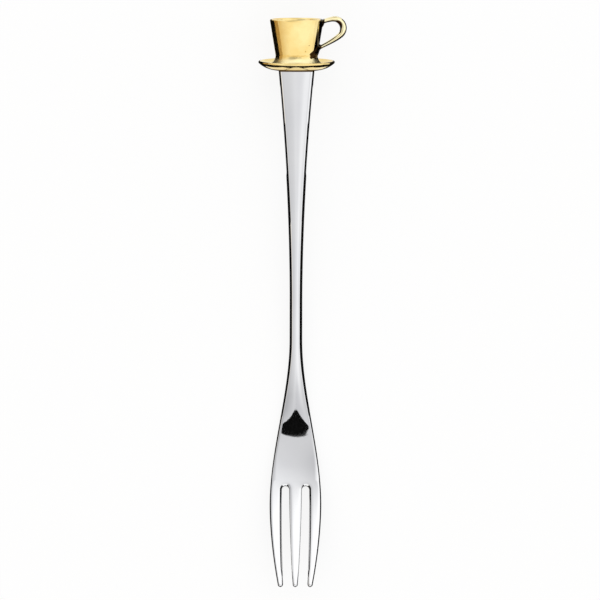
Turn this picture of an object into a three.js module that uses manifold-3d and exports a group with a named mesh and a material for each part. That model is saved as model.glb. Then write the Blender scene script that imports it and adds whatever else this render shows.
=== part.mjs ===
// A slim pastry fork of polished stainless steel, whose handle ends in a gilt miniature cup and saucer.
//
// Millimetres, +Z up. The fork lies face up on a table at z = 0, on the flat of its heel and on the rim of
// the saucer. The origin is the middle of the heel's flat, +Y runs up the handle to the cup, and the cup's
// ear is on the +X side. The finial is made about its own axis, which is +Y, and leans with the handle.

import * as THREE from "three";
import { mergeVertices } from "three/addons/utils/BufferGeometryUtils.js";
import Module from "manifold-3d";

const wasm = await Module();
wasm.setup();
const { lerp, smoothstep } = THREE.MathUtils;

// Fork in plan: places on the handle, measured from the heel
const HANDLE_REACH = 93.5;
const NECK_BOTTOM = 23;
const NECK_LENGTH = 10.4;
const NECK_TOP = NECK_BOTTOM + NECK_LENGTH;

// Fork in plan: places on the head, measured from the heel the other way
const HEAD_WIDEST = 20.5;
const TINE_REACH = 42.2;

// Widths at those places, and the powers of the curves between them
const HANDLE_END_WIDTH = 9.4;
const NECK_WIDTH = 3.3;
const HEAD_WIDTH = 13.55;
const TINE_TIP_SPAN = 9.2;
const HANDLE_FLARE = 1.85;
const TINE_TAPER = 1.8;

// The two slots between the tines, with round roots, and the tines' round tips
const SLOT_ROOT = 15.4;
const SLOT_ROOT_WIDTH = 1.95;
const SLOT_ROOT_CENTRE = 2.63;
const SLOT_BOW = 0.35;
const TINE_TIP_WIDTH = 1.4;

// Fork in profile: a flat under the heel, and the bend that eases into the slopes of the handle and the tines
const HEEL_FLAT = 4;
const HEEL_BEND_RADIUS = 95;
const TINE_SLOPE = 0.3;

// Thickness of the steel at its edges, and the crowned or dished form of its face
const TIP_THICKNESS = 1.2;
const HEEL_THICKNESS = 1.8;
const NECK_THICKNESS = 2.5;
const HANDLE_END_THICKNESS = 2.2;
const EDGE_ROUND = 0.5;
const HANDLE_CROWN = 0.35;
const HEAD_DISH = 0.3;
const CROWN_RUN = 15;

// Tang: the tongue at the handle's end that goes through the saucer and into the cup's floor, which covers it
const TANG_WIDTH = 4.2;
const TANG_THICKNESS = 1.3;
const TANG_DEPTH_IN_CUP = 1.7;
const TANG_COVER = 1.2;

// Saucer
const SAUCER_RADIUS = 10;
const SAUCER_FOOT_RADIUS = 5;
const SAUCER_TURN_RADIUS = 7.9;
const SAUCER_RIM_HEIGHT = 2.05;
const SAUCER_LIP_RADIUS = 0.35;
const SAUCER_WELL_MARGIN = 0.5;
const SAUCER_FLOOR = 1.3;

// Cup
const CUP_HEIGHT = 11.8;
const CUP_FOOT_RADIUS = 5.15;
const CUP_RIM_RADIUS = 7.05;
const CUP_WALL = 0.9;
const CUP_CORNER = 1.2;

// Cup's ear: a tapering strip that leaves the wall under the rim, bends round and runs straight back
const EAR_UPPER_BELOW_RIM = 0.65;
const EAR_LOWER_ABOVE_FILLET = 2.6;
const EAR_TOP_ABOVE_RIM = 0.2;
const EAR_REACH = 5.15;
const EAR_BEND_RADIUS = 2.45;
const EAR_BEND_START = 95;
const EAR_BEND_END = -50;
const EAR_UPPER_THICKNESS = 1.1;
const EAR_BEND_THICKNESS = 1.8;
const EAR_LOWER_THICKNESS = 0.95;
const EAR_THICKEST_SHARE = 0.45;
const EAR_DEPTH = 2;

// Braze: the small gap beside it in a joint, its thickness round the tang, and the fillets that it leaves
const BRAZE_GAP = 0.1;
const TANG_BRAZE = 0.2;
const FOOT_FILLET = 1.5;
const EAR_FILLET = 0.45;
const EAR_FILLET_RUN = 1.5;
const FILLET_EDGE = 0.12;

// Fineness of the round shapes, and how far a cutter runs past what it cuts or a tongue into what it joins
const TURNS = 48;
const ARC_STEPS = 5;
const EDGE_STEPS = 3;
const FACE_STEPS = 6;
const EAR_STEPS = 32;
const EAR_SIDES = 12;
const CUT_MARGIN = 2;
const MERGE_WITHIN = 1e-5;
const HALVINGS = 50;

// Solids: a closed geometry becomes a manifold solid for joining and cutting, and comes back as a geometry
function toSolid(geometry) {
  const bare = geometry.clone();
  bare.deleteAttribute("normal");
  bare.deleteAttribute("uv");
  const merged = mergeVertices(bare, MERGE_WITHIN);
  const corners = merged.index.array;
  const triangles = [];
  for (let i = 0; i < corners.length; i += 3) {
    const [a, b, c] = corners.slice(i, i + 3);
    if (a !== b && b !== c && c !== a) triangles.push(a, b, c);
  }
  return new wasm.Manifold(new wasm.Mesh({
    numProp: 3,
    vertProperties: new Float32Array(merged.attributes.position.array),
    triVerts: new Uint32Array(triangles),
  }));
}

function toGeometry(solid) {
  const mesh = solid.getMesh();
  const geometry = new THREE.BufferGeometry();
  geometry.setAttribute("position", new THREE.BufferAttribute(mesh.vertProperties, 3));
  geometry.setIndex(new THREE.BufferAttribute(mesh.triVerts, 1));
  geometry.computeVertexNormals();
  return geometry;
}

// Skin over a row of rings that have as many points each, closed by a fan at both ends
function loft(rings) {
  const sides = rings[0].length;
  const points = rings.flat();
  const faces = [];
  for (let ring = 0; ring + 1 < rings.length; ring++) {
    for (let side = 0; side < sides; side++) {
      const here = ring * sides + side;
      const next = ring * sides + (side + 1) % sides;
      faces.push(here, next, here + sides, next, next + sides, here + sides);
    }
  }
  for (const [ring, turned] of [[0, true], [rings.length - 1, false]]) {
    const middle = new THREE.Vector3();
    rings[ring].forEach((point) => middle.addScaledVector(point, 1 / sides));
    const hub = points.push(middle) - 1;
    for (let side = 0; side < sides; side++) {
      const here = ring * sides + side;
      const next = ring * sides + (side + 1) % sides;
      faces.push(hub, turned ? next : here, turned ? here : next);
    }
  }
  const geometry = new THREE.BufferGeometry().setFromPoints(points);
  geometry.setIndex(faces);
  geometry.computeVertexNormals();
  return geometry;
}

function box(width, length, height, x, y, z) {
  return toSolid(new THREE.BoxGeometry(width, length, height).translate(x, y, z));
}

function lathe(path) {
  return toSolid(new THREE.LatheGeometry(path.getPoints(ARC_STEPS), TURNS));
}

// Lie of the fork

// Rise of the steel's middle at some way past the heel's flat, where the bend eases into a straight slope
function rise(past, slope) {
  const ease = slope * HEEL_BEND_RADIUS;
  return slope * (Math.hypot(past, ease) - ease);
}

function leanAfter(past, slope) {
  return Math.atan(slope * past / Math.hypot(past, slope * HEEL_BEND_RADIUS));
}

// Height of the saucer's rim over the table at its lowest point, for a handle of this slope
function rimClearance(slope) {
  const past = HANDLE_REACH - HEEL_FLAT / 2;
  const lean = leanAfter(past, slope);
  const seat = HEEL_THICKNESS / 2 + rise(past, slope);
  const lipCentre = seat + (SAUCER_RIM_HEIGHT + BRAZE_GAP) * Math.sin(lean)
    - (SAUCER_RADIUS - SAUCER_LIP_RADIUS) * Math.cos(lean);
  return lipCentre - SAUCER_LIP_RADIUS;
}

// Slope at which the rim just touches the table, found by halving
function restingSlope() {
  let low = 0;
  let high = 1;
  for (let i = 0; i < HALVINGS; i++) {
    const middle = (low + high) / 2;
    if (rimClearance(middle) > 0) high = middle;
    else low = middle;
  }
  return high;
}

const HANDLE_SLOPE = restingSlope();

function spineAt(y) {
  const past = Math.max(0, Math.abs(y) - HEEL_FLAT / 2);
  const slope = y < 0 ? TINE_SLOPE : HANDLE_SLOPE;
  return {
    height: HEEL_THICKNESS / 2 + rise(past, slope),
    lean: Math.sign(y) * leanAfter(past, slope),
  };
}

// Fork: half its width, its thickness and the crown of its face at any place along it
function halfWidthAt(y) {
  const tipLine = TINE_REACH - TINE_TIP_WIDTH / 2;
  if (y > NECK_TOP) {
    const along = (y - NECK_TOP) / (HANDLE_REACH - NECK_TOP);
    return lerp(NECK_WIDTH, HANDLE_END_WIDTH, along ** HANDLE_FLARE) / 2;
  }
  if (y > -HEAD_WIDEST) {
    return lerp(NECK_WIDTH, HEAD_WIDTH, smoothstep(-y, -NECK_BOTTOM, HEAD_WIDEST)) / 2;
  }
  const along = Math.min(1, (-y - HEAD_WIDEST) / (tipLine - HEAD_WIDEST));
  return lerp(HEAD_WIDTH, TINE_TIP_SPAN, along ** TINE_TAPER) / 2;
}

function thicknessAt(y) {
  const flatEnd = HEEL_FLAT / 2;
  if (y > NECK_TOP) {
    return lerp(NECK_THICKNESS, HANDLE_END_THICKNESS, (y - NECK_TOP) / (HANDLE_REACH - NECK_TOP));
  }
  if (y > 0) return lerp(HEEL_THICKNESS, NECK_THICKNESS, smoothstep(y, flatEnd, NECK_BOTTOM));
  return lerp(HEEL_THICKNESS, TIP_THICKNESS, Math.max(0, -y - flatEnd) / (TINE_REACH - flatEnd));
}

function crownAt(y) {
  const share = smoothstep(Math.abs(y), HEEL_FLAT / 2, CROWN_RUN);
  return y > 0 ? HANDLE_CROWN * share : -HEAD_DISH * share;
}

// Section square to the spine: a strip with round edges, flat on its back, crowned or dished on its face
function forkRing(y) {
  const halfWidth = halfWidthAt(y);
  const thickness = thicknessAt(y);
  const crown = crownAt(y);
  const round = Math.min(EDGE_ROUND, thickness / 2);
  const flat = halfWidth - round;
  const upright = thickness / 2 - round;
  const section = [];
  const addCorner = (sideX, sideZ, start) => {
    for (let i = 0; i <= EDGE_STEPS; i++) {
      const angle = start + Math.PI / 2 * i / EDGE_STEPS;
      const x = sideX * flat + round * Math.cos(angle);
      section.push([x, sideZ * upright + round * Math.sin(angle)]);
    }
  };
  const addFace = (from, height, bulge) => {
    for (let i = 1; i < FACE_STEPS; i++) {
      const across = 1 - 2 * i / FACE_STEPS;
      section.push([from * flat * across, height + bulge * (1 - across ** 2)]);
    }
  };
  addCorner(1, 1, 0);
  addFace(1, thickness / 2, crown);
  addCorner(-1, 1, Math.PI / 2);
  addCorner(-1, -1, Math.PI);
  addFace(-1, -thickness / 2, 0);
  addCorner(1, -1, Math.PI * 1.5);
  const { height, lean } = spineAt(y);
  return section.map(([x, up]) => new THREE.Vector3(
    x, y - up * Math.sin(lean), height + up * Math.cos(lean)));
}

// Places along the fork where it gets a section, from the handle's end to just past the tips
function forkStations() {
  const stretches = [
    [HANDLE_REACH, NECK_TOP, 12],
    [NECK_TOP, NECK_BOTTOM, 2],
    [NECK_BOTTOM, HEEL_FLAT / 2, 10],
    [HEEL_FLAT / 2, -HEEL_FLAT / 2, 1],
    [-HEEL_FLAT / 2, -HEAD_WIDEST, 9],
    [-HEAD_WIDEST, -TINE_REACH, 10],
  ];
  const stations = [];
  for (const [from, to, steps] of stretches) {
    for (let i = 0; i < steps; i++) stations.push(lerp(from, to, i / steps));
  }
  stations.push(-TINE_REACH, -TINE_REACH - CUT_MARGIN);
  return stations;
}

// Height that the plan cutters must span to go through the head
const CUT_HEIGHT = spineAt(-TINE_REACH).height + HEEL_THICKNESS + CUT_MARGIN;

// Slot on one side of the middle tine, round at its root and slightly bowed
function slotCutter(side) {
  const radius = SLOT_ROOT_WIDTH / 2;
  const rootY = -SLOT_ROOT - radius;
  const tipY = -TINE_REACH + TINE_TIP_WIDTH / 2;
  const endY = -TINE_REACH - 2 * CUT_MARGIN;
  const middleY = (rootY + tipY) / 2;
  const innerRoot = SLOT_ROOT_CENTRE - radius;
  const outerRoot = SLOT_ROOT_CENTRE + radius;
  const innerTip = TINE_TIP_WIDTH / 2;
  const outerTip = TINE_TIP_SPAN / 2 - TINE_TIP_WIDTH;
  const shape = new THREE.Shape();
  shape.moveTo(side * innerTip, endY);
  shape.lineTo(side * outerTip, endY);
  shape.lineTo(side * outerTip, tipY);
  shape.quadraticCurveTo(side * ((outerTip + outerRoot) / 2 + SLOT_BOW), middleY, side * outerRoot, rootY);
  const [from, to] = side > 0 ? [0, Math.PI] : [Math.PI, 0];
  shape.absarc(side * SLOT_ROOT_CENTRE, rootY, radius, from, to, side < 0);
  shape.quadraticCurveTo(side * ((innerTip + innerRoot) / 2 + SLOT_BOW), middleY, side * innerTip, tipY);
  shape.closePath();
  const geometry = new THREE.ExtrudeGeometry(shape, {
    depth: CUT_HEIGHT + CUT_MARGIN,
    bevelEnabled: false,
    curveSegments: ARC_STEPS,
  });
  return toSolid(geometry.translate(0, 0, -CUT_MARGIN));
}

// What is trimmed off past the three round tips
function tipTrim() {
  const radius = TINE_TIP_WIDTH / 2;
  const centreY = -TINE_REACH + radius;
  const length = radius + 2 * CUT_MARGIN;
  let trim = box(HEAD_WIDTH, length, CUT_HEIGHT, 0, centreY - length / 2, CUT_HEIGHT / 2);
  const outer = TINE_TIP_SPAN / 2 - radius;
  for (const x of [-outer, 0, outer]) {
    const round = new THREE.CylinderGeometry(radius, radius, CUT_HEIGHT + CUT_MARGIN, TURNS / 2);
    round.rotateX(Math.PI / 2).translate(x, centreY, CUT_HEIGHT / 2);
    trim = trim.subtract(toSolid(round));
  }
  return trim;
}

// Place of the finial: on the end of the handle, leaning with it
const finial = new THREE.Group();
const seat = spineAt(HANDLE_REACH);
finial.position.set(0, HANDLE_REACH, seat.height);
finial.rotation.x = seat.lean;
finial.updateMatrix();

// Heights in the finial, along its axis from the handle's end
const SAUCER_BASE = BRAZE_GAP;
const SAUCER_WELL = SAUCER_BASE + SAUCER_FLOOR;
const CUP_BASE = SAUCER_WELL + BRAZE_GAP;
const CUP_RIM = CUP_BASE + CUP_HEIGHT;
const TANG_END = CUP_BASE + TANG_DEPTH_IN_CUP;
const FILLET_TOP = CUP_BASE + FOOT_FILLET;

function forkBlank() {
  const tang = new THREE.BoxGeometry(TANG_WIDTH, TANG_END + CUT_MARGIN, TANG_THICKNESS);
  tang.translate(0, (TANG_END - CUT_MARGIN) / 2, 0).applyMatrix4(finial.matrix);
  let blank = toSolid(loft(forkStations().map(forkRing)));
  for (const side of [-1, 1]) blank = blank.subtract(slotCutter(side));
  return blank.subtract(tipTrim()).add(toSolid(tang));
}

function cupRadiusAt(height) {
  return lerp(CUP_FOOT_RADIUS, CUP_RIM_RADIUS, (height - CUP_BASE) / CUP_HEIGHT);
}

// The tang's hole through the saucer and into the cup, which the braze lines
function tangSlot() {
  const beside = 2 * (TANG_BRAZE + 2 * BRAZE_GAP);
  const top = TANG_END + BRAZE_GAP;
  return box(
    TANG_WIDTH + beside, top + CUT_MARGIN, TANG_THICKNESS + beside, 0, (top - CUT_MARGIN) / 2, 0);
}

function tangBraze() {
  const length = TANG_END - SAUCER_BASE;
  const middle = (TANG_END + SAUCER_BASE) / 2;
  const sleeve = (beside, extra) => box(
    TANG_WIDTH + 2 * beside, length + extra, TANG_THICKNESS + 2 * beside, 0, middle, 0);
  return sleeve(BRAZE_GAP + TANG_BRAZE, 0).subtract(sleeve(BRAZE_GAP, CUT_MARGIN));
}

function saucer() {
  const rim = SAUCER_BASE + SAUCER_RIM_HEIGHT;
  const lip = SAUCER_RADIUS - SAUCER_LIP_RADIUS;
  const lipSide = SAUCER_LIP_RADIUS * Math.SQRT1_2;
  const well = CUP_FOOT_RADIUS + BRAZE_GAP + FOOT_FILLET + SAUCER_WELL_MARGIN;
  const profile = new THREE.Path();
  profile.moveTo(0, SAUCER_BASE);
  profile.lineTo(SAUCER_FOOT_RADIUS, SAUCER_BASE);
  profile.quadraticCurveTo(SAUCER_TURN_RADIUS, SAUCER_BASE, lip + lipSide, rim - lipSide);
  profile.absarc(lip, rim, SAUCER_LIP_RADIUS, -Math.PI / 4, Math.PI / 2);
  profile.quadraticCurveTo((lip + well) / 2, SAUCER_WELL, well, SAUCER_WELL);
  profile.lineTo(0, SAUCER_WELL);
  return lathe(profile).subtract(tangSlot());
}

function cup() {
  const lip = CUP_WALL / 2;
  const floor = TANG_END + BRAZE_GAP + TANG_COVER;
  const cornerTop = floor + CUP_CORNER;
  const floorEdge = cupRadiusAt(floor) - CUP_WALL;
  const profile = new THREE.Path();
  profile.moveTo(0, CUP_BASE);
  profile.lineTo(CUP_FOOT_RADIUS, CUP_BASE);
  profile.lineTo(cupRadiusAt(CUP_RIM - lip), CUP_RIM - lip);
  profile.absarc(cupRadiusAt(CUP_RIM - lip) - lip, CUP_RIM - lip, lip, 0, Math.PI);
  profile.lineTo(cupRadiusAt(cornerTop) - CUP_WALL, cornerTop);
  profile.quadraticCurveTo(floorEdge, floor, floorEdge - CUP_CORNER, floor);
  profile.lineTo(0, floor);
  return lathe(profile).subtract(tangSlot());
}

// The cup's outside as a cutter, a braze gap larger, for what is fitted against its wall
function cupWallCutter() {
  const low = CUP_BASE - CUT_MARGIN;
  const high = CUP_RIM + CUT_MARGIN;
  const profile = new THREE.Path();
  profile.moveTo(0, low);
  profile.lineTo(cupRadiusAt(low) + BRAZE_GAP, low);
  profile.lineTo(cupRadiusAt(high) + BRAZE_GAP, high);
  profile.lineTo(0, high);
  return lathe(profile);
}

function footBraze() {
  const innerLow = CUP_FOOT_RADIUS + BRAZE_GAP;
  const innerHigh = cupRadiusAt(FILLET_TOP) + BRAZE_GAP;
  const edge = CUP_BASE + FILLET_EDGE;
  const profile = new THREE.Path();
  profile.moveTo(innerLow, CUP_BASE);
  profile.lineTo(innerLow + FOOT_FILLET, CUP_BASE);
  profile.lineTo(innerLow + FOOT_FILLET, edge);
  profile.quadraticCurveTo(innerLow + FILLET_EDGE, edge, innerHigh + FILLET_EDGE, FILLET_TOP);
  profile.lineTo(innerHigh, FILLET_TOP);
  profile.lineTo(innerLow, CUP_BASE);
  return lathe(profile);
}

// Ear: its middle line starts and ends inside the wall, where it is cut to fit
function earLine() {
  const upper = CUP_RIM - EAR_UPPER_BELOW_RIM;
  const lower = FILLET_TOP + EAR_LOWER_ABOVE_FILLET;
  const centre = new THREE.Vector3(
    CUP_RIM_RADIUS + EAR_REACH - EAR_BEND_RADIUS, CUP_RIM + EAR_TOP_ABOVE_RIM - EAR_BEND_RADIUS, 0);
  const points = [new THREE.Vector3(cupRadiusAt(upper) - CUP_WALL / 2, upper, 0)];
  for (let i = 0; i <= ARC_STEPS; i++) {
    const angle = THREE.MathUtils.degToRad(lerp(EAR_BEND_START, EAR_BEND_END, i / ARC_STEPS));
    const spoke = new THREE.Vector3(Math.cos(angle), Math.sin(angle), 0);
    points.push(spoke.multiplyScalar(EAR_BEND_RADIUS).add(centre));
  }
  points.push(new THREE.Vector3(cupRadiusAt(lower) - CUP_WALL / 2, lower, 0));
  return new THREE.CatmullRomCurve3(points, false, "centripetal");
}

function earThicknessAt(along) {
  return along < EAR_THICKEST_SHARE
    ? lerp(EAR_UPPER_THICKNESS, EAR_BEND_THICKNESS, smoothstep(along, 0, EAR_THICKEST_SHARE))
    : lerp(EAR_BEND_THICKNESS, EAR_LOWER_THICKNESS, smoothstep(along, EAR_THICKEST_SHARE, 1));
}

// Oval section of the ear at a share of its length, larger all round by what is given
function earRing(line, along, larger) {
  const middle = line.getPointAt(along);
  const ahead = line.getTangentAt(along);
  const out = new THREE.Vector3(-ahead.y, ahead.x, 0);
  const deep = new THREE.Vector3(0, 0, 1);
  const ring = [];
  for (let i = 0; i < EAR_SIDES; i++) {
    const angle = 2 * Math.PI * i / EAR_SIDES;
    ring.push(middle.clone()
      .addScaledVector(out, (earThicknessAt(along) / 2 + larger) * Math.cos(angle))
      .addScaledVector(deep, (EAR_DEPTH / 2 + larger) * Math.sin(angle)));
  }
  return ring;
}

function earStrip(larger) {
  const line = earLine();
  const rings = [];
  for (let i = 0; i <= EAR_STEPS; i++) rings.push(earRing(line, i / EAR_STEPS, larger));
  return toSolid(loft(rings));
}

function cupEar() {
  return earStrip(0).subtract(cupWallCutter());
}

// Flared collar of braze round one end of the ear, cut to the cup's wall and to the ear
function earBraze(fromUpper) {
  const line = earLine();
  const run = (CUP_WALL / 2 + BRAZE_GAP + EAR_FILLET_RUN) / line.getLength();
  const rings = [];
  for (let i = 0; i <= ARC_STEPS; i++) {
    const share = i / ARC_STEPS;
    const along = fromUpper ? run * share : 1 - run * (1 - share);
    const flare = fromUpper ? 1 - share : share;
    rings.push(earRing(line, along, BRAZE_GAP + FILLET_EDGE + EAR_FILLET * flare ** 2));
  }
  return toSolid(loft(rings)).subtract(earStrip(BRAZE_GAP)).subtract(cupWallCutter());
}

// Finishes
const steel = { color: 0xd6d7d9, metalness: 1, roughness: 0.1 };
const gilt = { color: 0xf0d488, metalness: 1, roughness: 0.15 };

function part(name, solid, finish) {
  const mesh = new THREE.Mesh(toGeometry(solid), new THREE.MeshStandardMaterial(finish));
  mesh.name = name;
  return mesh;
}

finial.add(
  part("tang_braze", tangBraze(), gilt),
  part("saucer", saucer(), gilt),
  part("foot_braze", footBraze(), gilt),
  part("cup", cup(), gilt),
  part("cup_ear", cupEar(), gilt),
  part("ear_upper_braze", earBraze(true), gilt),
  part("ear_lower_braze", earBraze(false), gilt),
);

const fork = new THREE.Group();
fork.add(part("fork_blank", forkBlank(), steel), finial);

export default fork;
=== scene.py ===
"""Looks of the pastry fork: a mirror-polished steel fork whose handle ends in a gilt cup and saucer.

The part's frame, in metres: the fork lies face up on the floor at z = 0, the origin is the middle of the
flat under its heel, +Y runs up the handle to the cup and the cup's ear is on the +X side. Sizes in this
script are in millimetres until a point is placed.
"""

from math import atan, cos, exp, hypot, pi, radians, sin, sqrt, tan

import bpy
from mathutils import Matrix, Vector
from mathutils.geometry import interpolate_bezier


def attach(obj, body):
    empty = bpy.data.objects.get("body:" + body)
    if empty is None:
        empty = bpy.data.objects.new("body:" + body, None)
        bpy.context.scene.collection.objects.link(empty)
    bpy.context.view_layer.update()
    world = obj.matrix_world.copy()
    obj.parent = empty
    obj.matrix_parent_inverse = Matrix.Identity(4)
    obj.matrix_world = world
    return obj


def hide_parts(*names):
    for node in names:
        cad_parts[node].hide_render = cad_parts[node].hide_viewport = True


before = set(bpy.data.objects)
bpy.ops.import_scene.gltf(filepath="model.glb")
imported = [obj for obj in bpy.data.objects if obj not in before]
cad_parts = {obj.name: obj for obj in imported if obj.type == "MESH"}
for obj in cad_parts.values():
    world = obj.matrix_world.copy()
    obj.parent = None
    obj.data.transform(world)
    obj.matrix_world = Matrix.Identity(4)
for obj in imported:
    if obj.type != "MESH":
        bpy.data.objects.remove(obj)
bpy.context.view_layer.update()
MM = 0.001

# Fork in plan, measured from the heel, with the head on the minus side
HANDLE_END = 93.5
NECK_TOP = 33.4
NECK_BOTTOM = 23.0
HEAD_WIDEST = -20.5
TINE_END = -41.75
HANDLE_END_WIDTH = 9.4
NECK_WIDTH = 3.3
HEAD_WIDTH = 13.55
TINE_TIP_SPAN = 9.2
TINE_TIP_RADIUS = 0.7
TIP_LINE = TINE_END + TINE_TIP_RADIUS
SLOT_RADIUS = 0.975
SLOT_ROOT = -15.4
SLOT_TURN = SLOT_ROOT - SLOT_RADIUS
SLOT_CENTRE = 2.63
SLOT_BOW = 0.35
# How far rows of the mesh bend towards the handle, and how straight they leave the slots' roots
ROW_BOW = 1.3
OUTER_PULL = 1.2
MIDDLE_PULL = 0.8
TINE_CENTRE = TINE_TIP_SPAN / 2 - TINE_TIP_RADIUS

# Fork in profile
HEEL_FLAT = (-0.66, 2.44)
HEEL_BEND_RADIUS = 95.0
TINE_SLOPE = 0.3
HEEL_THICKNESS = 1.8
NECK_THICKNESS = 2.5
HANDLE_END_THICKNESS = 2.2
TIP_THICKNESS = 1.2
HANDLE_CROWN = (0.2425, -3.0, 8.2)
HEAD_DISH = (0.177, 0.48, 11.45)
HANDLE_EDGE = 0.9
TINE_EDGE = 0.4
SLOT_EDGE = (0.14, 0.5)
SLOT_BEVEL = 0.36
HANDLE_END_BEVEL = 0.3
EDGE_SHARE = 0.46
TINE_CROWN = 0.13
TINE_CROWN_WIDTH = 1.1
TANG_HALF = (2.1, 0.65)

# Finial, along its axis from the handle's end
SEAT_HEIGHT = 9.716
SEAT_LEAN = radians(6.111)
SEAT_REACH = HANDLE_END * cos(SEAT_LEAN) + SEAT_HEIGHT * sin(SEAT_LEAN)
SAUCER_BASE = 0.1
SAUCER_WELL = 1.4
CUP_BASE = 1.5
CUP_RIM = 13.3
CUP_FLOOR = 4.5
FILLET_RADIUS = 2.5
TANG_END = 3.2
CUP_FOOT_RADIUS = 5.15
CUP_RIM_RADIUS = 7.05
CUP_WALL = 0.9
CUP_FRONT_LIFT = 0.4
CUP_FLARE = (CUP_RIM_RADIUS - CUP_FOOT_RADIUS) / (CUP_RIM - CUP_BASE)
CUP_CORNER = 1.2
SAUCER_RADIUS = 10.0
SAUCER_LIP = 0.35
SAUCER_RIM = 2.15
SAUCER_FOOT_RADIUS = 5.0
SAUCER_TURN_RADIUS = 7.9
WELL_RADIUS = 7.25
EAR_UPPER = CUP_RIM - 0.65
EAR_LOWER = 5.6
EAR_CENTRE = (9.75, 11.05)
EAR_BEND_RADIUS = 2.45
EAR_BEND = (radians(95), radians(-50))
EAR_THICKNESS = (1.1, 1.8, 0.95)
EAR_DEPTH = 2.0
# Pulls of the curves that bring the ear to the wall, as (x, height), and of those that leave its bend
EAR_UPPER_PULL = (1.0, 0.38)
EAR_LOWER_PULL = (2.1, 1.2)
EAR_BEND_PULLS = (1.0, 2.2)

# Light and shade painted on the plating. A painted dark reflection round the crook of the ear, as (x, height),
# and the distances between which it fades. Edge of the side of the cup painted dark as a reflection: its place
# across at the seat, its slope and its softness. Heights between which the painted dark reflection under the
# saucer and the satin foot of the cup, painted pale as a highlight, fade.
EAR_CROOK = (10.55, 11.85)
EAR_CROOK_FADE = (1.62, 1.82)
CUP_PAINTED_DARK_SIDE = (3.12, 0.213, 0.35)
SAUCER_PAINTED_DARK_FADE = (0.45, 0.85)
FOOT_SATIN_AND_HIGHLIGHT_FADE = (2.7, 3.9)


def lerp(a, b, t):
    return a + (b - a) * t


def ease(value, start, end):
    """Goes smoothly from 0 at the start to 1 at the end."""
    t = min(1.0, max(0.0, (value - start) / (end - start)))
    return t * t * (3 - 2 * t)


def curve(start, control, end, steps):
    """Points of a quadratic curve between two points of a profile, the first left out."""
    points = []
    for i in range(1, steps + 1):
        t = i / steps
        points.append(tuple(lerp(lerp(a, b, t), lerp(b, c, t), t) for a, b, c in zip(start, control, end)))
    return points


def arc(centre, radius, start, end, steps):
    """Points of an arc of a profile, the first left out."""
    angles = [lerp(start, end, i / steps) for i in range(1, steps + 1)]
    return [(centre[0] + radius * cos(a), centre[1] + radius * sin(a)) for a in angles]


def line(start, end, steps):
    """Evenly spaced points of a straight line, the first left out."""
    return [tuple(lerp(a, b, i / steps) for a, b in zip(start, end)) for i in range(1, steps + 1)]


# Materials

def linear(hex_colour):
    """The linear colour of an sRGB hex code."""
    channels = [int(hex_colour[i:i + 2], 16) / 255 for i in (1, 3, 5)]
    return (*[c / 12.92 if c <= 0.04045 else ((c + 0.055) / 1.055) ** 2.4 for c in channels], 1.0)


def add_node(tree, kind, sockets=None, **settings):
    """Adds a node with its settings. An output given for a socket is linked to it, a value is set."""
    node = tree.nodes.new(kind)
    for name, value in settings.items():
        setattr(node, name, value)
    for name, value in (sockets or {}).items():
        if isinstance(value, bpy.types.NodeSocket):
            tree.links.new(value, node.inputs[name])
        else:
            node.inputs[name].default_value = value
    return node


def per(millimetres):
    """Noise scale at which its features are about this large."""
    return 1 / (millimetres * MM)


def new_material(name):
    material = bpy.data.materials.new(name)
    material.use_nodes = True
    tree = material.node_tree
    tree.nodes.clear()
    place = add_node(tree, "ShaderNodeTexCoord").outputs["Object"]
    return material, tree, place


def polished_steel():
    """Stainless steel, mirror polished on a wheel along the handle: sharp reflections that waver a little
    where the wheel bore harder, with a haze of fine lines and the faint cloud of handling."""
    material, tree, place = new_material("stainless steel, mirror polished")
    # The wheel's lines are some hundredths of a millimetre apart, and drawn coarser here to show at all.
    stretched = add_node(tree, "ShaderNodeMapping", {
        "Vector": place, "Scale": (per(0.25), per(30), per(0.25))})
    lines = add_node(tree, "ShaderNodeTexNoise", {
        "Vector": stretched.outputs["Vector"], "Scale": 1.0, "Detail": 2.0})
    waves = add_node(tree, "ShaderNodeTexNoise", {"Vector": place, "Scale": per(7), "Detail": 1.0})
    cloud = add_node(tree, "ShaderNodeTexNoise", {"Vector": place, "Scale": per(11), "Detail": 3.0})
    wavy = add_node(tree, "ShaderNodeBump", {"Height": waves.outputs["Fac"], "Distance": 0.008 * MM})
    lined = add_node(tree, "ShaderNodeBump", {
        "Height": lines.outputs["Fac"], "Distance": 0.0003 * MM, "Normal": wavy.outputs["Normal"]})
    haze = add_node(tree, "ShaderNodeMapRange", {
        "Value": cloud.outputs["Fac"], "From Min": 0.35, "From Max": 0.75, "To Min": 0.018, "To Max": 0.05})
    tint = add_node(tree, "ShaderNodeValToRGB", {"Fac": cloud.outputs["Fac"]})
    tint.color_ramp.elements[0].color = linear("#E2E3E6")
    tint.color_ramp.elements[1].color = linear("#F0F0F0")
    skin = add_node(tree, "ShaderNodeBsdfPrincipled", {
        "Base Color": tint.outputs["Color"], "Metallic": 1.0,
        "Roughness": haze.outputs["Result"], "Normal": lined.outputs["Normal"]})
    add_node(tree, "ShaderNodeOutputMaterial", {"Surface": skin.outputs["BSDF"]})
    return material


def along_finial(x, height):
    """Direction in the plane of the cup's ear."""
    return (x, height * cos(SEAT_LEAN), height * sin(SEAT_LEAN))


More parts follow.
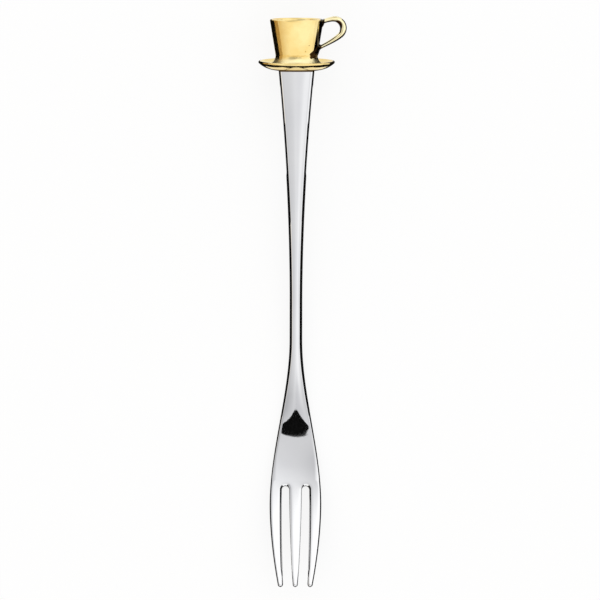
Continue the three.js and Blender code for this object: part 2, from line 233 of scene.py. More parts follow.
def gilt(name, pale, deep, smooth, dull, unevenness, crook=None, painted_dark_side=None, painted_band=None):
    """Gold plating on cast brass: warm reflections that wobble over the casting's uneven skin, paler where
    the plating is worn bright and deeper where it lies thick. Round a crook, given in metres, it is painted near
    black as a dark reflection, and on the sides that face the saucer it is painted brown as shade. A painted dark
    side is the cup's wall under the ear painted nearly black beyond a slanted edge, as a dark reflection. A
    painted band is a satin foot that fades out between two heights of the finial, with its roughness, its colour
    and, where it differs, its colour at a glancing angle; its colours are painted light and shade."""
    material, tree, place = new_material(name)
    waves = add_node(tree, "ShaderNodeTexNoise", {"Vector": place, "Scale": per(3.2), "Detail": 2.0})
    grain = add_node(tree, "ShaderNodeTexNoise", {"Vector": place, "Scale": per(0.35), "Detail": 3.0})
    cloud = add_node(tree, "ShaderNodeTexNoise", {"Vector": place, "Scale": per(4.5), "Detail": 3.0})
    wavy = add_node(tree, "ShaderNodeBump", {
        "Height": waves.outputs["Fac"], "Distance": 0.02 * unevenness * MM})
    grained = add_node(tree, "ShaderNodeBump", {
        "Height": grain.outputs["Fac"], "Distance": 0.0015 * unevenness * MM,
        "Normal": wavy.outputs["Normal"]})
    haze = add_node(tree, "ShaderNodeMapRange", {
        "Value": grain.outputs["Fac"], "From Min": 0.35, "From Max": 0.7, "To Min": smooth, "To Max": dull})
    tint = add_node(tree, "ShaderNodeValToRGB", {"Fac": cloud.outputs["Fac"]})
    tint.color_ramp.elements[0].position = 0.35
    tint.color_ramp.elements[0].color = linear(deep)
    tint.color_ramp.elements[1].position = 0.65
    tint.color_ramp.elements[1].color = linear(pale)
    colour, roughness, glancing = tint.outputs["Color"], haze.outputs["Result"], (1.0, 1.0, 1.0, 1.0)
    # Painted shade: the sides facing down to the saucer are painted brown, and round the crook a painted dark
    # reflection is near black.
    if crook:
        facing = add_node(tree, "ShaderNodeTexCoord").outputs["Normal"]
        down = add_node(tree, "ShaderNodeVectorMath", {0: facing, 1: along_finial(0.3, -0.95)},
                        operation="DOT_PRODUCT").outputs["Value"]
        painted_shade_below = add_node(tree, "ShaderNodeMapRange", {
            "Value": down, "From Min": 0.25, "From Max": 0.5}).outputs["Result"]
        colour = add_node(tree, "ShaderNodeMix", {0: painted_shade_below, 6: colour, 7: linear("#4A3412")},
                          data_type="RGBA").outputs[2]
        away = add_node(tree, "ShaderNodeVectorMath", {0: place, 1: crook}, operation="DISTANCE").outputs["Value"]
        near, far = EAR_CROOK_FADE
        unpainted = add_node(tree, "ShaderNodeMapRange", {
            "Value": away, "From Min": near * MM, "From Max": far * MM}).outputs["Result"]
        colour = add_node(tree, "ShaderNodeMix", {0: unpainted, 6: linear("#2B1505"), 7: colour},
                          data_type="RGBA").outputs[2]
    # Painted dark reflection: beyond a slanted edge the cup's wall under the ear is painted nearly black.
    if painted_dark_side:
        edge, slope, softness = painted_dark_side
        across = add_node(tree, "ShaderNodeVectorMath", {0: place, 1: along_finial(1, -slope)},
                          operation="DOT_PRODUCT").outputs["Value"]
        edge -= slope * SEAT_REACH
        burnt_and_painted_dark = add_node(tree, "ShaderNodeMapRange", {
            "Value": across, "From Min": edge * MM, "From Max": (edge + softness) * MM},
            interpolation_type="SMOOTHSTEP").outputs["Result"]
        colour = add_node(tree, "ShaderNodeMix", {0: burnt_and_painted_dark, 6: colour, 7: linear("#1C0E04")},
                          data_type="RGBA").outputs[2]
    # Painted band: below a height the colour, roughness and glancing colour change; these colours are painted
    # light and shade.
    if painted_band:
        (low, high), satin_roughness, satin, painted_glancing = painted_band
        height = add_node(tree, "ShaderNodeVectorMath", {0: place, 1: along_finial(0, 1)},
                          operation="DOT_PRODUCT").outputs["Value"]
        unpainted = add_node(tree, "ShaderNodeMapRange", {
            "Value": height, "From Min": (SEAT_REACH + low) * MM, "From Max": (SEAT_REACH + high) * MM},
            interpolation_type="SMOOTHSTEP").outputs["Result"]
        colour = add_node(tree, "ShaderNodeMix", {0: unpainted, 6: linear(satin), 7: colour},
                          data_type="RGBA").outputs[2]
        if painted_glancing:
            glancing = add_node(tree, "ShaderNodeMix", {0: unpainted, 6: linear(painted_glancing), 7: glancing},
                                data_type="RGBA").outputs[2]
        roughness = add_node(tree, "ShaderNodeMix", {0: unpainted, 2: satin_roughness, 3: roughness}).outputs[0]
    skin = add_node(tree, "ShaderNodeBsdfPrincipled", {
        "Base Color": colour, "Metallic": 1.0, "Specular Tint": glancing,
        "Roughness": roughness, "Normal": grained.outputs["Normal"]})
    add_node(tree, "ShaderNodeOutputMaterial", {"Surface": skin.outputs["BSDF"]})
    return material


STEEL = polished_steel()
BUFFED = ("#FBE6A4", "#F3D58A", 0.06, 0.15, 1.0)
# The cup's side under the ear is painted dark as a reflection.
CUP_GOLD = gilt("gold plate on cast brass, buffed, burnt under the ear", *BUFFED, painted_dark_side=CUP_PAINTED_DARK_SIDE)
# Under the saucer, by the joint, a painted dark reflection: satin bronze with a dark glancing colour.
SAUCER_GOLD = gilt("gold plate on cast brass, buffed, painted dark at the joint", *BUFFED,
                   painted_band=(SAUCER_PAINTED_DARK_FADE, 0.4, "#8E6A30", "#2A1604"))
BRAZE_GOLD = gilt("gold plate on a braze fillet, burnt and not buffed", "#463012", "#0E0702", 0.15, 0.35, 2.5)
# The cup's foot has a satin roughness, and its colour is painted paler as a highlight.
FILLET_GOLD = gilt("gold plate on a braze fillet, buffed above, satin below", *BUFFED,
                   painted_band=(FOOT_SATIN_AND_HIGHLIGHT_FADE, 0.4, "#FFF3C0", None))


# Meshes

def add_piece(name, shape, node, material):
    """A piece of the fork, which stands for a node of the CAD part. Its shape is points and faces, and of the
    faces, which are smooth, those that lie hidden in a joint and are flat."""
    points, faces, hidden = shape
    mesh = bpy.data.meshes.new(name)
    mesh.from_pydata(points, [], faces)
    mesh.polygons.foreach_set("use_smooth", [True] * len(faces))
    for i in hidden:
        mesh.polygons[i].use_smooth = False
    mesh.materials.append(material)
    piece = bpy.data.objects.new(name, mesh)
    bpy.context.scene.collection.objects.link(piece)
    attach(piece, "root")
    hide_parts(node)
    return piece


def in_finial(x, along, up):
    """Place of a point of the finial, whose axis leans with the end of the handle."""
    return (
        x * MM,
        (HANDLE_END + along * cos(SEAT_LEAN) - up * sin(SEAT_LEAN)) * MM,
        (SEAT_HEIGHT + along * sin(SEAT_LEAN) + up * cos(SEAT_LEAN)) * MM,
    )


def turned(profile, turns, closed=False, dents=(), lift=0.0):
    """Shape of a profile of (radius, height) turned about the finial's axis. It starts and ends on the axis,
    or closes on itself, and then its first and last lines lie hidden. A dent is (x, height, radius, depth) on
    the side that faces up. The lift is how much longer the cup's wall is at the front than at the back."""
    points, faces, rings = [], [], []
    for radius, height in profile:
        if radius < 1e-6:
            rings.append([len(points)] * turns)
            points.append(in_finial(0, height, 0))
            continue
        rings.append([len(points) + i for i in range(turns)])
        for i in range(turns):
            angle = 2 * pi * i / turns
            sunk = 0.0
            for x, at, size, depth in dents:
                away = hypot(radius * cos(angle) - x, height - at) / size
                if away < 3 and sin(angle) > 0:
                    sunk += depth * exp(-away * away)
            longer = lift * (1 + sin(angle)) / 2 * (height - CUP_BASE) / (CUP_RIM - CUP_BASE)
            reach = radius - sunk + longer * CUP_FLARE
            points.append(in_finial(reach * cos(angle), height + longer, reach * sin(angle)))
    pairs = list(zip(rings, rings[1:] + rings[:1])) if closed else list(zip(rings, rings[1:]))
    for low, high in pairs:
        for i in range(turns):
            j = (i + 1) % turns
            corners = [low[j], low[i], high[i], high[j]]
            faces.append([c for k, c in enumerate(corners) if c not in corners[:k]])
    hidden = [*range(turns), *range(len(faces) - turns, len(faces))] if closed else []
    return points, faces, hidden


# Fork

def handle_slope():
    """Slope that the handle eases into, from its lean at the finial."""
    past = HANDLE_END - HEEL_FLAT[1]
    low, high = 0.0, 1.0
    for _ in range(50):
        middle = (low + high) / 2
        if middle * past / hypot(past, middle * HEEL_BEND_RADIUS) > tan(SEAT_LEAN):
            high = middle
        else:
            low = middle
    return high


HANDLE_SLOPE = handle_slope()


def spine(s):
    """Height and lean of the middle of the steel."""
    past = max(0.0, s - HEEL_FLAT[1], HEEL_FLAT[0] - s)
    slope = TINE_SLOPE if s < 0 else HANDLE_SLOPE
    bend = slope * HEEL_BEND_RADIUS
    reach = hypot(past, bend)
    lean = atan(slope * past / reach)
    return HEEL_THICKNESS / 2 + slope * (reach - bend), lean if s > 0 else -lean


def half_width(s):
    if s > NECK_TOP:
        return lerp(NECK_WIDTH, HANDLE_END_WIDTH, ((s - NECK_TOP) / (HANDLE_END - NECK_TOP)) ** 1.85) / 2
    if s > HEAD_WIDEST:
        return lerp(NECK_WIDTH, HEAD_WIDTH, ease(-s, -NECK_BOTTOM, -HEAD_WIDEST)) / 2
    if s > TIP_LINE:
        along = (s - HEAD_WIDEST) / (TIP_LINE - HEAD_WIDEST)
        return lerp(HEAD_WIDTH, TINE_TIP_SPAN, along ** 1.8) / 2
    return TINE_CENTRE + tip_half(s)


def tip_half(s):
    return sqrt(max(0.0, TINE_TIP_RADIUS ** 2 - (s - TIP_LINE) ** 2))


def slot_side(s, side):
    """Distance of the slot's wall from the middle line: side -1 is the wall of the middle tine, 1 of the outer."""
    if s > SLOT_ROOT:
        return SLOT_CENTRE * lerp(1.0, half_width(s) * 0.37 / SLOT_CENTRE, ease(s, SLOT_ROOT, NECK_BOTTOM))
    if s > SLOT_TURN:
        return SLOT_CENTRE + side * sqrt(max(0.0, SLOT_RADIUS ** 2 - (s - SLOT_TURN) ** 2))
    if s > TIP_LINE:
        root = SLOT_CENTRE + side * SLOT_RADIUS
        tip = TINE_CENTRE - TINE_TIP_RADIUS if side > 0 else TINE_TIP_RADIUS
        t = (SLOT_TURN - s) / (SLOT_TURN - TIP_LINE)
        return lerp(lerp(root, (root + tip) / 2 + SLOT_BOW, t), lerp((root + tip) / 2 + SLOT_BOW, tip, t), t)
    return TINE_CENTRE - tip_half(s) if side > 0 else tip_half(s)


def thickness(s):
    if s > NECK_TOP:
        return lerp(NECK_THICKNESS, HANDLE_END_THICKNESS, ease(s, NECK_TOP, HANDLE_END))
    if s > 0:
        return lerp(HEEL_THICKNESS, NECK_THICKNESS, ease(s, 4.0, NECK_TOP))
    return lerp(HEEL_THICKNESS, TIP_THICKNESS, ease(-s, 4.0, -TINE_END))


def crown(s):
    """Rise of the face's middle over its edges, which turns into the dish of the head."""
    return HANDLE_CROWN[0] * ease(s, *HANDLE_CROWN[1:]) - HEAD_DISH[0] * ease(-s, *HEAD_DISH[1:])


def edge_width(s):
    """Width of the rounding along the edges."""
    return lerp(TINE_EDGE, HANDLE_EDGE, ease(s, -18.0, NECK_BOTTOM))


def slot_bevel(s, turn, outer_tine):
    """How far the edge of a slot is bevelled and not round, which it is on the outer tines and round the root,
    where turn is the share of the way across, from -1 at the middle tine to 1."""
    if s > SLOT_TURN:
        return ease(turn, -1.0, -0.3)
    return ease(s, TIP_LINE, TIP_LINE + 5.0) if outer_tine else 0.0


def slot_edge(s, bevel):
    """Width of the bevel or rounding along a slot."""
    return lerp(TINE_EDGE, lerp(*SLOT_EDGE, bevel), ease(s, TIP_LINE, TIP_LINE + 4.0))


def edge_distances(x, s):
    """Distances of a point of the plan from the outer edge or tip and from the nearest slot, and how far the
    edge of the slot there is bevelled."""
    x = abs(x)
    outer_tine = x > SLOT_CENTRE if s > SLOT_TURN else x > (slot_side(s, -1) + slot_side(s, 1)) / 2
    if s < TIP_LINE:
        outer = TINE_TIP_RADIUS - hypot(x - (TINE_CENTRE if outer_tine else 0.0), s - TIP_LINE)
        return outer, outer, 0.0
    tilt = (half_width(s + 0.05) - half_width(s - 0.05)) / 0.1
    outer = (half_width(s) - x) / hypot(1, tilt)
    if s > SLOT_TURN:
        away = hypot(x - SLOT_CENTRE, s - SLOT_TURN)
        return outer, away - SLOT_RADIUS, slot_bevel(s, (x - SLOT_CENTRE) / away, outer_tine)
    side = 1 if outer_tine else -1
    return outer, side * (x - slot_side(s, side)), slot_bevel(s, side, outer_tine)


def rounding(near):
    """Drop of a round edge, from 0 where it starts to 1 at the edge itself."""
    return 1 - sqrt(max(0.0, 1 - near * near))


def fork_rows():
    """Places along the slots' sides where a row of points crosses the steel, from the handle to the tips."""
    bevel = HANDLE_END - HANDLE_END_BEVEL
    above = SLOT_ROOT + SLOT_EDGE[1] * 1.2
    rows = [HANDLE_END, HANDLE_END - 0.15, bevel + 0.02, bevel]
    rows += [lerp(bevel - 0.02, NECK_BOTTOM, i / 90) for i in range(90)]
    rows += [lerp(NECK_BOTTOM, above, i / 90) for i in range(91)]
    rows += [SLOT_TURN + SLOT_RADIUS * cos(pi / 2 * i / 14) for i in range(14)]
    rows += [lerp(SLOT_TURN, TIP_LINE, i / 44) for i in range(44)]
    rows += [TIP_LINE - TINE_TIP_RADIUS * sin(radians(80) * i / 8) for i in range(9)]
    return rows


def row_bow(s):
    """How far a row bends towards the handle as it leaves the slot, so that rows fan out round its root."""
    if s > SLOT_ROOT:
        return ROW_BOW * (1 - ease(s, SLOT_ROOT, 2.0))
    return ROW_BOW * ease(s, SLOT_TURN, SLOT_ROOT) if s > SLOT_TURN else 0.0


ROUND_STEPS = [1 - cos(pi / 2 * i / 7) for i in range(8)]
BEVEL_STEPS = [0.0, 0.2, 0.4, 0.6, 0.8, 0.95, 1.0, 1.08]


def slot_points(s, side, width):
    """Points of a row that leave a slot squarely, close together over its edge, and the way they leave it. Over
    the slot's root only the last is left, and the row leaves along the fork."""
    wall = Vector((slot_side(s, side), s))
    if s > SLOT_ROOT:
        return [None] * 7 + [wall], Vector((0, 1))
    way = (wall - Vector((SLOT_CENTRE, SLOT_TURN))) / SLOT_RADIUS if s > SLOT_TURN else Vector((side, 0))
    bevel = slot_bevel(s, way.x, side > 0)
    edge = min(slot_edge(s, bevel), width * 0.42)
    return [wall + way * edge * lerp(a, b, bevel) for a, b in zip(ROUND_STEPS, BEVEL_STEPS)], way


def outer_row(s):
    """Points of a row from the slot's wall to the fork's edge."""
    end = Vector((half_width(s + row_bow(s)), s + row_bow(s)))
    width = end.x - slot_side(s, 1)
    row, way = slot_points(s, 1, width)
    fan = 1 - ease(s, SLOT_ROOT, SLOT_ROOT + 8) if s > SLOT_TURN else 0.0
    control = ((row[7] + end) / 2).lerp(row[7] + OUTER_PULL * way, fan)
    edge = min(edge_width(s), width * 0.42) / 2 / (end - control).length
    shares = [(1 - edge) * i / 6 for i in range(1, 6)] + [1 - edge * step for step in reversed(ROUND_STEPS)]
    return row + [row[7].lerp(control, t).lerp(control.lerp(end, t), t) for t in shares]


def middle_row(s):
    """Points of a row across the middle tine, or between the slots' lines above it."""
    half = slot_side(s, -1)
    row, way = slot_points(s, -1, 2 * half)
    fan = 1 - ease(s, SLOT_ROOT, SLOT_ROOT + 8) if s > SLOT_TURN else 0.0
    third = row[7].x / 3
    control = Vector((third, row[7].y)).lerp(row[7] + MIDDLE_PULL * way, fan)
    mirrored = [point and Vector((-point.x, point.y)) for point in row]
    ends = [mirrored[7], Vector((-control.x, control.y)), control, row[7]]
    return mirrored + [Vector(p[:2]) for p in interpolate_bezier(*ends, 7)[1:-1]] + row[::-1]


def fork_plan():
    """Points (x, s) and quads of the fork's plan: three lanes, which part at the slots into the tines."""
    points, quads, found = [], [], {}

    def index(point):
        key = (round(point.x, 4), round(point.y, 4))
        if key not in found:
            found[key] = len(points)
            points.append((point.x, point.y))
        return found[key]

    outer = [outer_row(s) for s in fork_rows()]
    left = [[point and Vector((-point.x, point.y)) for point in reversed(row)] for row in outer]
    for lane in (left, [middle_row(s) for s in fork_rows()], outer):
        rows = [[point and index(point) for point in row] for row in lane]
        for upper, lower in zip(rows, rows[1:]):
            for i in range(len(upper) - 1):
                quad = (upper[i], lower[i], lower[i + 1], upper[i + 1])
                if None not in quad:
                    quads.append(quad)
    return points, quads


def fork_mesh():
    """Face and back of the plan, crowned or dished and rounded at the edges, with the walls between them."""
    plan, quads = fork_plan()
    points, count = [], len(plan)
    for side in (1, -1):
        for x, s in plan:
            thick = thickness(s)
            outer, inner, bevel = edge_distances(x, s)
            near_outer = max(0.0, 1 - max(0.0, outer) / edge_width(s))
            near_slot = max(0.0, 1 - max(0.0, inner) / slot_edge(s, bevel))
            round_drop = EDGE_SHARE * thick * rounding(max(near_outer, near_slot * (1 - bevel)))
            up = thick / 2 - max(round_drop, SLOT_BEVEL * bevel * near_slot)
            if side > 0:
                up += crown(s) * (1 - (x / half_width(s)) ** 2)
                away = max(0.0, min(outer, inner))
                up -= TINE_CROWN * ease(-s, 12.0, 22.0) * max(0.0, 1 - away / TINE_CROWN_WIDTH) ** 2
                up -= max(0.0, HANDLE_END_BEVEL - (HANDLE_END - s))
            height, lean = spine(s)
            up *= side
            points.append((x * MM, (s - up * sin(lean)) * MM, (height + up * cos(lean)) * MM))
    faces = quads + [tuple(count + i for i in reversed(quad)) for quad in quads]
    edges = {(quad[i], quad[(i + 1) % 4]) for quad in quads for i in range(4)}
    for a, b in sorted(edges):
        if (b, a) not in edges:
            faces.append((b, a, count + a, count + b))
    first = len(points)
    wide, thick = TANG_HALF
    for along in (0.0, TANG_END):
        for x, up in ((-wide, -thick), (wide, -thick), (wide, thick), (-wide, thick)):
            points.append(in_finial(x, along, up))
    box = [(0, 1, 2, 3), (7, 6, 5, 4), (0, 4, 5, 1), (1, 5, 6, 2), (2, 6, 7, 3), (3, 7, 4, 0)]
    hidden = range(len(faces), len(faces) + len(box))
    faces += [tuple(first + i for i in reversed(face)) for face in box]
    return points, faces, hidden


add_piece("fork", fork_mesh(), "fork_blank", STEEL)


# Saucer and cup

def cup_radius(height):
    return CUP_FOOT_RADIUS + CUP_FLARE * (height - CUP_BASE)


def saucer_profile():
    lip = SAUCER_RADIUS - SAUCER_LIP
    slant = SAUCER_LIP * sqrt(0.5)
    outer = (lip + slant, SAUCER_RIM - slant)
    points = [(0, SAUCER_BASE)] + line((0, SAUCER_BASE), (SAUCER_FOOT_RADIUS, SAUCER_BASE), 4)
    points += curve((SAUCER_FOOT_RADIUS, SAUCER_BASE), (SAUCER_TURN_RADIUS, SAUCER_BASE), outer, 24)
    points += arc((lip, SAUCER_RIM), SAUCER_LIP, -pi / 4, pi / 2, 12)
    points += curve(points[-1], ((lip + WELL_RADIUS) / 2, SAUCER_WELL), (WELL_RADIUS, SAUCER_WELL), 16)
    return points + line((WELL_RADIUS, SAUCER_WELL), (0, SAUCER_WELL), 6)


def cup_profile():
    lip = CUP_WALL / 2
    shoulder = CUP_RIM - lip
    corner = CUP_FLOOR + CUP_CORNER
    floor_edge = cup_radius(CUP_FLOOR) - CUP_WALL
    inner = (cup_radius(corner) - CUP_WALL, corner)
    points = [(0, CUP_BASE)] + line((0, CUP_BASE), (CUP_FOOT_RADIUS, CUP_BASE), 4)
    points += line(points[-1], (cup_radius(shoulder), shoulder), 90)
    points += arc((cup_radius(shoulder) - lip, shoulder), lip, 0, pi, 14)
    points += line(points[-1], inner, 12)
    points += curve(inner, (floor_edge, CUP_FLOOR), (floor_edge - CUP_CORNER, CUP_FLOOR), 10)
    return points + line(points[-1], (0, CUP_FLOOR), 4)


# Small pits of the casting: place across, height, radius and depth
PITS = ((3.35, 6.55, 0.2, 0.12), (2.35, 5.0, 0.16, 0.1))

add_piece("saucer", turned(saucer_profile(), 192), "saucer", SAUCER_GOLD)
add_piece("cup", turned(cup_profile(), 256, dents=PITS, lift=CUP_FRONT_LIFT), "cup", CUP_GOLD)


def foot_fillet_profile():
    """Hollow fillet of braze, round from the cup's wall to the saucer and let a little into both."""
    flare = atan(CUP_FLARE)
    low = (CUP_FOOT_RADIUS - 0.1, SAUCER_WELL - 0.05)
    bottom = SAUCER_WELL - 0.02
    middle = bottom + FILLET_RADIUS
    reach = cup_radius(middle + FILLET_RADIUS * sin(flare)) + FILLET_RADIUS * cos(flare) - 0.01
    return [low, (reach, bottom)] + arc((reach, middle), FILLET_RADIUS, 1.5 * pi, pi - flare, 32)


add_piece("foot_fillet", turned(foot_fillet_profile(), 192, closed=True),
          "foot_braze", FILLET_GOLD)


# Ear

def ear_line():
    """Middle line of the ear as (x, height), from inside the wall under the rim to inside it lower down."""
    upper = Vector((cup_radius(EAR_UPPER) - CUP_WALL / 2, EAR_UPPER))
    lower = Vector((cup_radius(EAR_LOWER) - CUP_WALL / 2, EAR_LOWER))
    start, end = EAR_BEND
    bend = [Vector(p) for p in arc(EAR_CENTRE, EAR_BEND_RADIUS, start, end, 40)]
    first = Vector(EAR_CENTRE) + EAR_BEND_RADIUS * Vector((cos(start), sin(start)))
    out = Vector((sin(start), -cos(start)))
    back = Vector((sin(end), -cos(end)))
    there = interpolate_bezier(
        upper, upper + Vector(EAR_UPPER_PULL), first - EAR_BEND_PULLS[0] * out, first, 16)
    home = interpolate_bezier(
        bend[-1], bend[-1] + EAR_BEND_PULLS[1] * back, lower + Vector(EAR_LOWER_PULL), lower, 28)
    return [Vector(p[:2]) for p in there] + bend + [Vector(p[:2]) for p in home[1:]]


def ear_thickness(share):
    upper, bend, lower = EAR_THICKNESS
    if share < 0.45:
        return lerp(upper, bend, ease(share, 0, 0.45))
    return lerp(bend, lower, ease(share, 0.45, 1))


def ear_mesh(sides=40):
    middle = ear_line()
    points, faces = [], []
    for i, here in enumerate(middle):
        ahead = (middle[min(i + 1, len(middle) - 1)] - middle[max(i - 1, 0)]).normalized()
        out = Vector((-ahead.y, ahead.x))
        half = ear_thickness(i / (len(middle) - 1)) / 2
        for k in range(sides):
            angle = 2 * pi * k / sides
            at = here + out * half * cos(angle)
            points.append(in_finial(at.x, at.y, EAR_DEPTH / 2 * sin(angle)))
    rings = len(middle)
    for i in range(rings - 1):
        for k in range(sides):
            j = (k + 1) % sides
            a, b = i * sides + k, i * sides + j
            faces.append((a, b, b + sides, a + sides))
    faces.append(tuple(reversed(range(sides))))
    faces.append(tuple(range((rings - 1) * sides, rings * sides)))
    return points, faces, (len(faces) - 2, len(faces) - 1)


# The ear is a paler copy of the buffed gold, painted light, with painted shade and a painted dark reflection
# inside the loop.
EAR_GOLD = gilt("gold plate on cast brass, worn pale, tarnished inside the loop",
                "#FFF6CC", "#FBEBB4", 0.06, 0.15, 1.0, crook=in_finial(*EAR_CROOK, 0))
add_piece("ear", ear_mesh(), "cup_ear", EAR_GOLD)


def ear_fillet(end, spread, run, fingers=(), sides=96, steps=10):
    """Hollow collar of braze from the cup's wall to one end of the ear, 0 for the upper and -1 for the lower.
    A finger of braze that ran out over the wall is its direction round the ear, its width and its length."""
    middle = ear_line()
    start = middle[end]
    ahead = (middle[6] - middle[0]) if end == 0 else (middle[-7] - middle[-1])
    ahead.normalize()
    out = Vector((-ahead.y, ahead.x))
    along = Vector((ahead.x, ahead.y, 0))
    half = EAR_THICKNESS[0 if end == 0 else 2] / 2

    def on_wall(angle, size):
        """Where a line along the ear, this much outside it, meets the wall."""
        across_ear = start + out * (half + size) * cos(angle)
        up = (EAR_DEPTH / 2 + size) * sin(angle)
        reach = 0.0
        for _ in range(30):
            at = across_ear + ahead * reach
            reach += 0.7 * (sqrt(max(0.0, cup_radius(at.y) ** 2 - up * up)) - at.x) / ahead.x
        at = across_ear + ahead * reach
        return Vector((at.x, at.y, up))

    def clear_of_wall(point, lift):
        """The point moved out until it is this high over the wall."""
        x, height, up = point
        grow = max(1.0, (cup_radius(height) + lift) / hypot(x, up))
        return x * grow, height, up * grow

    points, faces, hidden = [], [], []
    for k in range(sides):
        angle = 2 * pi * k / sides
        size = spread + sum(
            length * exp(-(((angle - radians(way) + pi) % (2 * pi) - pi) / radians(wide)) ** 2)
            for way, wide, length in fingers)
        foot = on_wall(angle, size) - along * 0.03
        inside = on_wall(angle, -0.05)
        section = curve(foot, on_wall(angle, 0.0), inside + along * run, steps)
        section = [clear_of_wall(p, 0.3 * sin(pi * (i + 1) / (steps + 1))) for i, p in enumerate(section)]
        section = [foot] + section + [inside - along * 0.15]
        points += [in_finial(*p) for p in section]
    size = steps + 2
    for k in range(sides):
        j = (k + 1) % sides
        for i in range(size):
            n = (i + 1) % size
            if i >= steps:
                hidden.append(len(faces))
            faces.append((k * size + i, k * size + n, j * size + n, j * size + i))
    return points, faces, hidden


# The upper fillet lies mostly under the ear. The lower one ran forwards and down over the cup's wall.
UPPER_FINGERS = ((180, 60, 0.7), (95, 35, 0.5))
LOWER_FINGERS = ((108, 36, 2.9), (70, 8, 0.6), (88, 7, 1.1), (106, 6, 1.3), (123, 7, 1.1), (140, 8, 0.9))

add_piece("ear_upper_fillet", ear_fillet(0, 0.12, 0.7, UPPER_FINGERS), "ear_upper_braze", BRAZE_GOLD)
add_piece("ear_lower_fillet", ear_fillet(-1, 0.4, 1.1, LOWER_FINGERS), "ear_lower_braze", BRAZE_GOLD)
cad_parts["tang_braze"].data.materials.clear()
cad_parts["tang_braze"].data.materials.append(BRAZE_GOLD)


# Studio

def stage_piece(name, points, faces, colour, glow=0.0):
    """Matt piece of the studio, in millimetres. Glow is the share of plain white that it shows to the eye and
    to the metal, which leaves the rest for the shadow."""
    mesh = bpy.data.meshes.new(name)
    mesh.from_pydata([(x * MM, y * MM, z * MM) for x, y, z in points], [], faces)
    material, tree, place = new_material(name)
    fibre = add_node(tree, "ShaderNodeTexNoise", {"Vector": place, "Scale": per(1.5), "Detail": 4.0})
    rough = add_node(tree, "ShaderNodeMapRange", {
        "Value": fibre.outputs["Fac"], "To Min": 0.75, "To Max": 0.95})
    paper = add_node(tree, "ShaderNodeBsdfPrincipled", {
        "Base Color": linear(colour), "Roughness": rough.outputs["Result"], "Specular IOR Level": 0.1})
    rays = add_node(tree, "ShaderNodeLightPath").outputs
    seen = add_node(tree, "ShaderNodeMath", {0: rays["Is Camera Ray"], 1: rays["Is Glossy Ray"]},
                    operation="ADD", use_clamp=True)
    seen = add_node(tree, "ShaderNodeMath", {0: seen.outputs[0], 1: rays["Is Transmission Ray"]},
                    operation="ADD", use_clamp=True)
    share = add_node(tree, "ShaderNodeMath", {0: seen.outputs[0], 1: glow}, operation="MULTIPLY")
    white = add_node(tree, "ShaderNodeEmission", {"Color": (1.0, 1.0, 1.0, 1.0), "Strength": 1.0})
    surface = add_node(tree, "ShaderNodeMixShader", {
        0: share.outputs[0], 1: paper.outputs["BSDF"], 2: white.outputs["Emission"]})
    add_node(tree, "ShaderNodeOutputMaterial", {"Surface": surface.outputs["Shader"]})
    mesh.materials.append(material)
    piece = bpy.data.objects.new(name, mesh)
    bpy.context.scene.collection.objects.link(piece)
    return piece


def seen_by_metal_only(piece):
    piece.visible_camera = False
    piece.visible_diffuse = False
    piece.visible_shadow = False


def flat_sheet(x0, y0, x1, y1, z):
    return [(x0, y0, z), (x1, y0, z), (x1, y1, z), (x0, y1, z)]


def standing_sheet(x0, y0, x1, y1, height, foot=0):
    return [(x0, y0, foot), (x1, y1, foot), (x1, y1, height), (x0, y0, height)]


stage_piece("paper_floor", flat_sheet(-2500, -2500, 2500, 2500, 0), [(0, 1, 2, 3)], "#F8F8F8", glow=0.85)

# Black cards round the fork, which give the polished metal its dark edges. The floor is left white in front of
# the saucer and under the cup, because their lower sides mirror it.
cards = [
    flat_sheet(-18, -300, 18, 66, 0.01),
    flat_sheet(-18, 66, -12, 89, 0.01),
    flat_sheet(12, 66, 18, 89, 0.01),
    flat_sheet(-18, 89, 18, 94, 0.01),
    flat_sheet(-18, 94, -9, 113, 0.01),
    flat_sheet(9, 94, 18, 113, 0.01),
    standing_sheet(-18, -60, -18, -10, 16),
    standing_sheet(18, -60, 18, -10, 16),
    standing_sheet(-18, -10, -18, 5, 10),
    standing_sheet(18, -10, 18, 5, 10),
    standing_sheet(-18, 5, -18, 50, 14),
    standing_sheet(18, 5, 18, 50, 19),
    standing_sheet(-18, 50, -18, 76, 21),
    standing_sheet(18, 50, 18, 76, 21),
    standing_sheet(-18, 76, -18, 91, 16),
    standing_sheet(18, 76, 18, 91, 16),
    standing_sheet(-18, 91, -18, 113, 9),
    standing_sheet(14.5, 91, 14.5, 110, 11.5),
    standing_sheet(-520, -300, 520, -300, 105),
]
seen_by_metal_only(stage_piece(
    "black_cards", [point for card in cards for point in card],
    [tuple(range(4 * i, 4 * i + 4)) for i in range(len(cards))], "#0A0A0A"))

# Tan card over the black one on the left of the cup, which softens its dark side
seen_by_metal_only(stage_piece(
    "tan_card", standing_sheet(-18, 91, -18, 113, 15.5, foot=9), [(0, 1, 2, 3)], "#C4A878"))

CAMERA_HEIGHT = 2500.0
VIEW_CENTRE = (1.05, 33.4)
VIEW_WIDTH = 157.6

# Dark opening of the tent by the camera, uneven where its cloth hangs in, which the level steel of the heel
# reflects
OPENING = (
    (-5, -287), (45, -281), (81, -257), (113, -201), (124, -142), (120, -103), (102, -74), (79, -68), (38, -78),
    (12, -60), (1, -36), (-10, -25), (-27, -30), (-60, -54), (-92, -53), (-130, -61), (-143, -92), (-128, -135),
    (-120, -163), (-98, -229), (-68, -267), (-39, -284),
)
seen_by_metal_only(stage_piece(
    "tent_opening", [(x, y, CAMERA_HEIGHT) for x, y in OPENING], [tuple(range(len(OPENING)))], "#060606"))

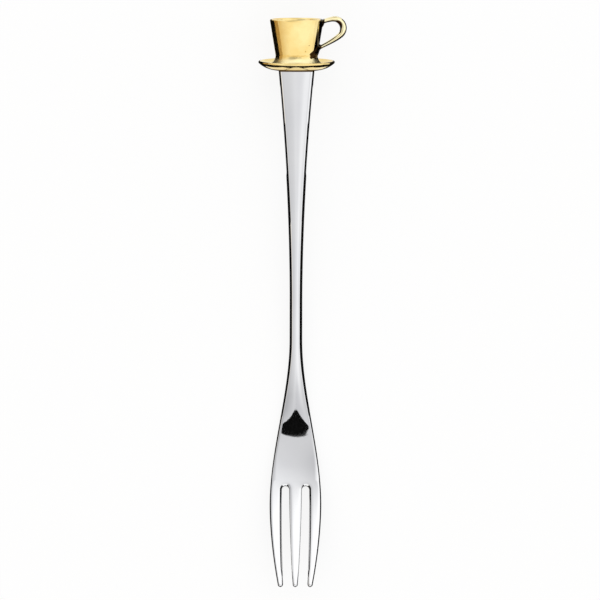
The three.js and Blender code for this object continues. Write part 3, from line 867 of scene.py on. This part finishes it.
# White tent, greyer or warmer at some places: direction, distances at which the tone starts to fade and is
# gone, and its share of each colour
TENT_TONES = (
    ((-0.42, 0.08, 0.90), 0.17, 0.50, (0.52, 0.52, 0.53)),
    ((-0.05, 0.03, 1.0), 0.12, 0.34, (0.70, 0.70, 0.71)),
    ((-0.20, -0.22, 0.95), 0.09, 0.25, (0.88, 0.88, 0.88)),
    ((0.30, -0.04, 0.95), 0.10, 0.25, (0.66, 0.66, 0.67)),
    ((0.05, -0.13, 0.99), 0.02, 0.10, (0.83, 0.83, 0.84)),
    ((-1.0, -0.10, -0.05), 0.0, 1.15, (0.67, 0.52, 0.30)),
    ((0.0, 0.55, 0.83), 0.2, 0.6, (1.15, 1.15, 1.15)),
    ((0.0, 1.0, 0.25), 0.1, 0.5, (0.35, 0.34, 0.32)),
)
TENT_LEVEL = 1.12
world = bpy.data.worlds.new("white_tent")
bpy.context.scene.world = world
world.use_nodes = True
world.node_tree.nodes.clear()
tree = world.node_tree
way = add_node(tree, "ShaderNodeTexCoord").outputs["Generated"]
light = (TENT_LEVEL, TENT_LEVEL, TENT_LEVEL)
for direction, start, end, tone in TENT_TONES:
    away = add_node(tree, "ShaderNodeVectorMath", {0: way, 1: Vector(direction).normalized()},
                    operation="DISTANCE").outputs["Value"]
    fade = add_node(tree, "ShaderNodeMapRange", {
        "Vector": away, 7: (start,) * 3, 8: (end,) * 3, 9: tone, 10: (1.0,) * 3},
        data_type="FLOAT_VECTOR", interpolation_type="SMOOTHSTEP").outputs["Vector"]
    light = add_node(tree, "ShaderNodeVectorMath", {0: light, 1: fade}, operation="MULTIPLY").outputs["Vector"]
tent = add_node(tree, "ShaderNodeBackground", {"Color": light, "Strength": 1.0})
add_node(tree, "ShaderNodeOutputWorld", {"Surface": tent.outputs["Background"]})

camera_data = bpy.data.cameras.new("long lens")
camera_data.sensor_width = 36.0
camera_data.lens = 36.0 * CAMERA_HEIGHT / VIEW_WIDTH
camera_data.clip_end = 20.0
camera = bpy.data.objects.new("camera", camera_data)
camera.location = (VIEW_CENTRE[0] * MM, VIEW_CENTRE[1] * MM, CAMERA_HEIGHT * MM)
camera.rotation_euler = (0.0, 0.0, radians(0.15))
bpy.context.scene.collection.objects.link(camera)
bpy.context.scene.camera = camera
bpy.context.scene.view_settings.view_transform = "Standard"
